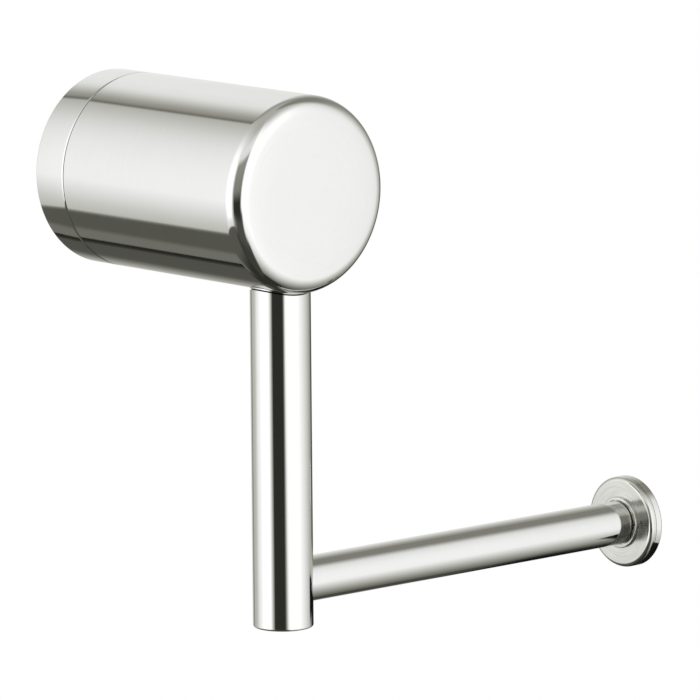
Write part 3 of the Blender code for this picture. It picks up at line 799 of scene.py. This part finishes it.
bracket_radius = bracket_high.x
bracket_depth = -bracket_low.y
gasket_low, gasket_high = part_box("wall_gasket")
gasket_thickness = -gasket_low.y
recess_outer = gasket_high.x + GAP
recess_inner = gasket_high.x - GASKET_WIDTH - GAP
outline = [(0, 0), (recess_inner, 0), (recess_inner, gasket_thickness + GAP)]
outline += [(recess_outer, gasket_thickness + GAP), (recess_outer, 0), (bracket_radius, 0)]
for name in ("rear_o_ring", "front_o_ring"):
    seal_low, seal_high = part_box(name)
    cord = seal_high.y - seal_low.y
    groove_floor = seal_high.x - cord - GAP
    outline += [(bracket_radius, -seal_high.y - GAP), (groove_floor, -seal_high.y - GAP)]
    outline += [(groove_floor, -seal_low.y + GAP), (bracket_radius, -seal_low.y + GAP)]
outline += [(bracket_radius, bracket_depth), (WELL_RADIUS, bracket_depth), (WELL_RADIUS, WEB), (0, WEB)]
print("the bracket's outline has", len(outline), "corners")

# %% Turn the bracket
TOOL_EDGE = 0.0004

bracket = turn(outline, FINE_STEPS)
round_ring(bracket, bracket_radius, bracket_depth, 2 * TOOL_EDGE, segments=1)
round_ring(bracket, WELL_RADIUS, bracket_depth, TOOL_EDGE, segments=1)
round_ring(bracket, WELL_RADIUS, WEB, TOOL_EDGE, segments=3)
round_ring(bracket, bracket_radius, 0, TOOL_EDGE / 2, segments=1)
print("bracket has", len(bracket.faces), "faces before it is milled")

# %% Mill the slots
SLOT_WIDTH = 0.0052
SLOT_LENGTH = 0.0080
SLOT_BREAK = 0.0003  # edge break round the slots' mouths


def slot_tool(centre, width, length, start, end):
    """A prism with round ends: a circle whose two halves are pulled apart, then extruded."""
    tool = bmesh.new()
    bmesh.ops.create_circle(tool, cap_ends=True, segments=SMALL_STEPS, radius=width / 2)
    for side in (-1, 1):
        half = [vert for vert in tool.verts if vert.co.y * side > width / 1000]
        bmesh.ops.translate(tool, vec=(0, side * (length - width) / 2, 0), verts=half)
    bmesh.ops.translate(tool, vec=(centre, 0, start), verts=tool.verts)
    extruded = bmesh.ops.extrude_face_region(tool, geom=tool.faces[:])
    raised = [part for part in extruded["geom"] if isinstance(part, bmesh.types.BMVert)]
    bmesh.ops.translate(tool, vec=(0, 0, end - start), verts=raised)
    bmesh.ops.recalc_face_normals(tool, faces=tool.faces)
    return tool


openings = {opening["name"]: opening["box_m"] for opening in frame["record"]["physics"]["openings"]}
for name in ("screw_slot_left", "screw_slot_right"):
    slot_centre = (openings[name][0][0] + openings[name][1][0]) / 2
    bracket = carve(bracket, slot_tool(slot_centre, SLOT_WIDTH, SLOT_LENGTH, -GAP, WEB + GAP))
    mouth = slot_tool(
        slot_centre, SLOT_WIDTH + 2 * SLOT_BREAK, SLOT_LENGTH + 2 * SLOT_BREAK, WEB - SLOT_BREAK, WEB + GAP
    )
    bracket = carve(bracket, mouth)
print("two slots milled")

# %% Mill the keyway
boss_low, boss_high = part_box("screw_boss")
key_width = boss_high.x - boss_low.x + 2 * GAP
key_start = -boss_high.y - GAP
key_end = bracket_depth + GAP
key_height = boss_high.z - boss_low.z + 3 * GAP
key_middle = (0, boss_high.z + GAP - key_height / 2, (key_start + key_end) / 2)
bracket = carve(bracket, block((key_width, key_height, key_end - key_start), key_middle))
add_piece(
    "machined_bracket", seated(bracket, body_seat), "wall_fixing", turned_bracket,
    "wall_bracket",
)

# %% [markdown]
# A moulded O-ring is a circle spun round the axis. The foam washer is punched from sheet, so its section
# is a rectangle, softened only where it meets the wall.

# %% The rubber rings
def rubber_ring(radius, level, cord, steps, segments=20):
    """A circle the size of the cord, spun round the axis."""
    shape = bmesh.new()
    bmesh.ops.create_circle(shape, cap_ends=False, segments=segments, radius=cord / 2)
    bmesh.ops.rotate(shape, cent=(0, 0, 0), matrix=FORWARD.to_3x3(), verts=shape.verts)
    bmesh.ops.translate(shape, vec=(radius, 0, level), verts=shape.verts)
    bmesh.ops.spin(
        shape, geom=shape.verts[:] + shape.edges[:], cent=(0, 0, 0), axis=(0, 0, 1), angle=math.tau,
        steps=steps, use_merge=True,
    )
    bmesh.ops.remove_doubles(shape, verts=shape.verts, dist=1e-7)
    bmesh.ops.recalc_face_normals(shape, faces=shape.faces)
    return shape


for name in ("rear_o_ring", "front_o_ring"):
    seal_low, seal_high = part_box(name)
    level = -(seal_low.y + seal_high.y) / 2
    seal = rubber_ring(seal_high.x - cord / 2, level, cord, FINE_STEPS)
    add_piece("moulded_" + name, seated(seal, body_seat), "wall_fixing", ring_rubber, name)

# %% The foam washer
FOAM_EDGE = 0.0004

gasket_outer = gasket_high.x
gasket_inner = gasket_outer - GASKET_WIDTH
washer = tube(gasket_inner, gasket_outer, 0, gasket_thickness, FINE_STEPS)
for radius in (gasket_inner, gasket_outer):
    round_ring(washer, radius, 0, FOAM_EDGE, segments=4)
add_piece("foam_washer", seated(washer, body_seat), "wall_fixing", foam_rubber, "wall_gasket")

# %% [markdown]
# ## The locking screw and its boss
# One screw holds the arm on the wall. It sits in a boss that is welded inside the cup, out of sight, and
# is turned with a hexagon key from below. Its thread is a real helix: a column of thread profiles that
# rises by one pitch while it is spun once round, so that each tooth meets the next one. Planes trim it to
# length, and a turned blank bevels both ends.

# %% Cut a thread
THREAD_DEPTH = 0.61  # of an ISO thread, as a share of its pitch


def threaded(radius, pitch, start, end, steps=48):
    """A solid with an ISO thread on it, flat at both ends."""
    depth = pitch * THREAD_DEPTH
    tooth = ((0.0, 0.0), (0.25, 0.0), (0.5625, depth), (0.6875, depth))  # share of the pitch, distance out
    turns = math.ceil((end - start) / pitch) + 3
    shape = bmesh.new()
    column = []
    for turn_number in range(turns):
        foot = start + (turn_number - 2) * pitch
        for share, out in tooth:
            column.append(shape.verts.new((radius - depth + out, 0.0, foot + share * pitch)))
    sides = [shape.edges.new(pair) for pair in zip(column, column[1:])]
    bmesh.ops.spin(
        shape, geom=column + sides, cent=(0, 0, 0), axis=(0, 0, 1), angle=math.tau, steps=steps,
        dvec=(0, 0, pitch / steps), use_merge=False,
    )
    bmesh.ops.remove_doubles(shape, verts=shape.verts, dist=1e-6)
    for level, side in ((start, -1), (end, 1)):
        bmesh.ops.bisect_plane(
            shape, geom=shape.verts[:] + shape.edges[:] + shape.faces[:], dist=1e-7,
            plane_co=(0, 0, level), plane_no=(0, 0, side), clear_outer=True,
        )
    open_edges = [edge for edge in shape.edges if edge.is_boundary]
    bmesh.ops.holes_fill(shape, edges=open_edges, sides=0)
    bmesh.ops.recalc_face_normals(shape, faces=shape.faces)
    return shape


print("thread maker ready")

# %% The locking screw
SCREW_PITCH = 0.0008
SCREW_POINT = 0.0006
HEX_FLATS = 0.0025
HEX_DEPTH = 0.0024


def hexagon_tool(flats, start, end):
    """A six-sided punch for a socket."""
    tool = bmesh.new()
    corner = flats / math.sqrt(3)
    bmesh.ops.create_cone(tool, cap_ends=True, segments=6, radius1=corner, radius2=corner, depth=end - start)
    bmesh.ops.translate(tool, vec=(0, 0, (start + end) / 2), verts=tool.verts)
    return tool


blank = drum(screw_radius, screw_low.z, screw_high.z, SMALL_STEPS)
round_ring(blank, screw_radius, screw_low.z, GAP, segments=1)
round_ring(blank, screw_radius, screw_high.z, SCREW_POINT, segments=1)
screw = threaded(screw_radius, SCREW_PITCH, screw_low.z - GAP, screw_high.z + GAP)
screw = carve(screw, blank, "INTERSECT")
screw = carve(screw, hexagon_tool(HEX_FLATS, screw_low.z - GAP, screw_low.z + HEX_DEPTH))
add_piece(
    "socket_lock_screw", seated(screw, screw_seat), "lock_screw", screw_steel,
    "locking_screw",
)

# %% The boss
BOSS_CORNER = 0.0008
BOSS_SPARE = 0.004  # of length, trimmed to the cup's bore

boss_size = boss_high - boss_low
boss_length = boss_size.z + BOSS_SPARE
boss_middle = (0, (boss_low.y + boss_high.y) / 2, boss_high.z - boss_length / 2)
boss = block((boss_size.x, boss_size.y, boss_length), boss_middle)
upright = [edge for edge in boss.edges if abs((edge.verts[0].co - edge.verts[1].co).z) > boss_size.z]
bmesh.ops.bevel(
    boss, geom=upright, offset=BOSS_CORNER, offset_type="OFFSET", segments=4, profile=0.5, affect="EDGES",
    material=-1,
)
boss = carve(boss, seated(drum(bracket_radius, 0, cup_front, FINE_STEPS), body_seat), "INTERSECT")
boss = carve(boss, seated(drum(screw_radius + GAP, below, 0.0, SMALL_STEPS), screw_seat))
add_piece("welded_boss", boss, "holder", turned_bracket, "screw_boss")

# %% [markdown]
# ## The drop rod
# A plain 16 mm rod, polished all round, with a small rounded edge at its foot. It goes through the cup's
# wall into a brass block, where two screws press on a flat.

# %% Turn the rod and mill its flat
ROD_EDGE = 0.0006
FLAT_DEPTH = 0.0010
FLAT_LENGTH = 0.0240

rod = drum(rod_radius, rod_low.z, rod_high.z, ROD_STEPS)
round_ring(rod, rod_radius, rod_low.z, ROD_EDGE, segments=5)
round_ring(rod, rod_radius, rod_high.z, ROD_EDGE, segments=1)
flat_size = (4 * rod_radius, rod_radius, 2 * FLAT_LENGTH)
flat = block(flat_size, (0, 1.5 * rod_radius - FLAT_DEPTH, rod_high.z))
rod = seated(carve(rod, flat), rod_seat)
print("rod has", len(rod.faces), "faces before it is grooved and bored")

# %% [markdown]
# A hairline groove runs round the rod just under the cup and follows the cup's curve. Its tool is a piece
# of thin tube round the body's axis, with all but the rod's skin taken out of it. The bar sits in a
# shallow socket that is bored across the rod, and a stud pulls it in from a narrower hole at the bottom of
# the socket.

# %% Groove and bore the rod
RELIEF_FROM = 0.0002  # a fine groove that follows the cup, just clear of it
RELIEF_TO = 0.0006
RELIEF_DEPTH = 0.0004

bar_radius = (bar_high.z - bar_low.z) / 2
relief = tube(cup_radius + RELIEF_FROM, cup_radius + RELIEF_TO, 0, cup_front, FINE_STEPS)
core = drum(rod_radius - RELIEF_DEPTH, -2 * cup_radius, 2 * cup_radius, ROD_STEPS)
rod = carve(rod, carve(seated(relief, body_seat), seated(core, rod_seat)))
rod = carve(rod, seated(drum(bar_radius + GAP, bar_low.x - GAP, 2 * rod_radius, ROD_STEPS), bar_seat))
stud_low, stud_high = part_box("joining_stud")
stud_radius = (stud_high.z - stud_low.z) / 2
rod = carve(rod, seated(drum(stud_radius + GAP, stud_low.x - GAP, rod_radius, SMALL_STEPS), bar_seat))
add_piece("polished_drop_rod", rod, "holder", polished_rod, "drop_rod")

# %% [markdown]
# ## The roll bar
# The bar is a 12 mm tube, so that it weighs little. Its surface is a long mirror: it shows the bright
# cloth above, the dark table below and, near its end, the disc. So it needs nothing but clean geometry.

# %% Draw the bar
BAR_WALL = 0.0015
BAR_EDGE = 0.0003
bar_bore = bar_radius - BAR_WALL
bar = tube(bar_bore, bar_radius, bar_low.x, bar_high.x, ROD_STEPS)
for end in (bar_low.x, bar_high.x):
    round_ring(bar, bar_radius, end, BAR_EDGE, segments=2)
add_piece("polished_bar_tube", seated(bar, bar_seat), "holder", polished_bar, "bar_tube")

# %% [markdown]
# ## The stop disc
# A turned washer keeps the roll on the bar. It has a low hub round the bar, a flat face with the lathe's
# rings still on it, and a polished, rounded shoulder. The grooves pull each highlight out into a fan,
# which is why its finish has a spread gloss.

# %% Turn the disc
HUB_STEP = 0.0008
HUB_RADIUS = 0.0071
CREASE = 0.00002  # all that is left between the disc and the cap
HUB_EDGE = 0.0003

disc_front = disc_high.x + GAP - CREASE
disc_back = disc_low.x + HUB_STEP
disc = turn(
    [
        (bar_radius + GAP, disc_low.x),
        (HUB_RADIUS, disc_low.x),
        (HUB_RADIUS, disc_back),
        (disc_radius, disc_back),
        (disc_radius, disc_front),
        (bar_bore + GAP, disc_front),
        (bar_bore + GAP, disc_back),
        (bar_radius + GAP, disc_back),
    ],
    ROD_STEPS,
)
round_ring(disc, HUB_RADIUS, disc_low.x, HUB_EDGE, segments=3)
round_ring(disc, disc_radius, disc_back, SHOULDER, segments=8)
round_ring(disc, disc_radius, disc_front, CREASE, segments=1)
add_piece("turned_stop_disc", seated(disc, bar_seat), "holder", turned_disc, "stop_disc")

# %% [markdown]
# ## The end cap
# The cap is what a visitor sees from the side: a polished button as wide as the disc. Its boss passes
# through the disc and holds a threaded stud, and a rubber ring in its back keeps it from working loose.
# Its face has the same kind of slight crown as the cup.

# %% Draw the cap's outline
CAP_METAL = 0.0010  # between the stud's hole and the face
CAP_RINGS = (0.9, 0.8, 0.65, 0.45)  # shares of the radius

cap_low, cap_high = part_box("end_cap")
cap_radius = (cap_high.z - cap_low.z) / 2
cap_stud_low, cap_stud_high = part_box("cap_stud")
tapped_radius = (cap_stud_high.z - cap_stud_low.z) / 2 + GAP
seal_low, seal_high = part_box("cap_o_ring")
cap_cord = seal_high.x - seal_low.x
cap_back = seal_low.x
seal_outer = (seal_high.z - seal_low.z) / 2
groove_inner = seal_outer - cap_cord - GAP
groove_floor = seal_high.x + GAP
cap_front = cap_high.x
outline = [(tapped_radius, cap_low.x), (bar_bore, cap_low.x), (bar_bore, cap_back), (groove_inner, cap_back)]
outline += [(groove_inner, groove_floor), (seal_outer + GAP, groove_floor), (seal_outer + GAP, cap_back)]
outline += [(cap_radius, cap_back), (cap_radius, cap_front)]
outline += [(cap_radius * share, cap_front) for share in CAP_RINGS]
outline += [(0, cap_front), (0, cap_front - CAP_METAL), (tapped_radius, cap_front - CAP_METAL)]
print("the cap's outline has", len(outline), "corners")

# %% Turn the cap
CAP_EDGE = 0.0009
CAP_CROWN = 0.0002

cap = turn(outline, ROD_STEPS)
round_ring(cap, cap_radius, cap_front, CAP_EDGE, segments=8)
round_ring(cap, cap_radius, cap_back, CREASE, segments=1)
for vert in cap.verts:
    if vert.co.z > cap_front - CAP_METAL + GAP / 2:
        vert.co.z -= CAP_CROWN * (vert.co.xy.length / cap_radius) ** CROWN_POWER
add_piece("polished_end_cap", seated(cap, bar_seat), "holder", polished_bar, "end_cap")
seal = rubber_ring(seal_outer - cap_cord / 2, (seal_low.x + seal_high.x) / 2, cap_cord, ROD_STEPS)
add_piece("moulded_cap_o_ring", seated(seal, bar_seat), "holder", ring_rubber, "cap_o_ring")

# %% [markdown]
# ## What is left as it is
# The brass block, the plugs, the studs and the grip screws are closed in by other pieces. Their packed
# shapes are right, so they only get their metal.

# %% Finish the hidden pieces
HIDDEN = {
    "rod_carrier": body_brass,
    "grip_screw_upper": body_fasteners,
    "grip_screw_lower": body_fasteners,
    "joining_stud": bar_fasteners,
    "cap_stud": bar_fasteners,
    "inner_bar_plug": bar_brass,
    "outer_bar_plug": bar_brass,
}
for name, finish in HIDDEN.items():
    node = frame["nodes"][name]
    node.data.materials.clear()
    node.data.materials.append(finish)
print(len(HIDDEN), "hidden pieces have their finish")
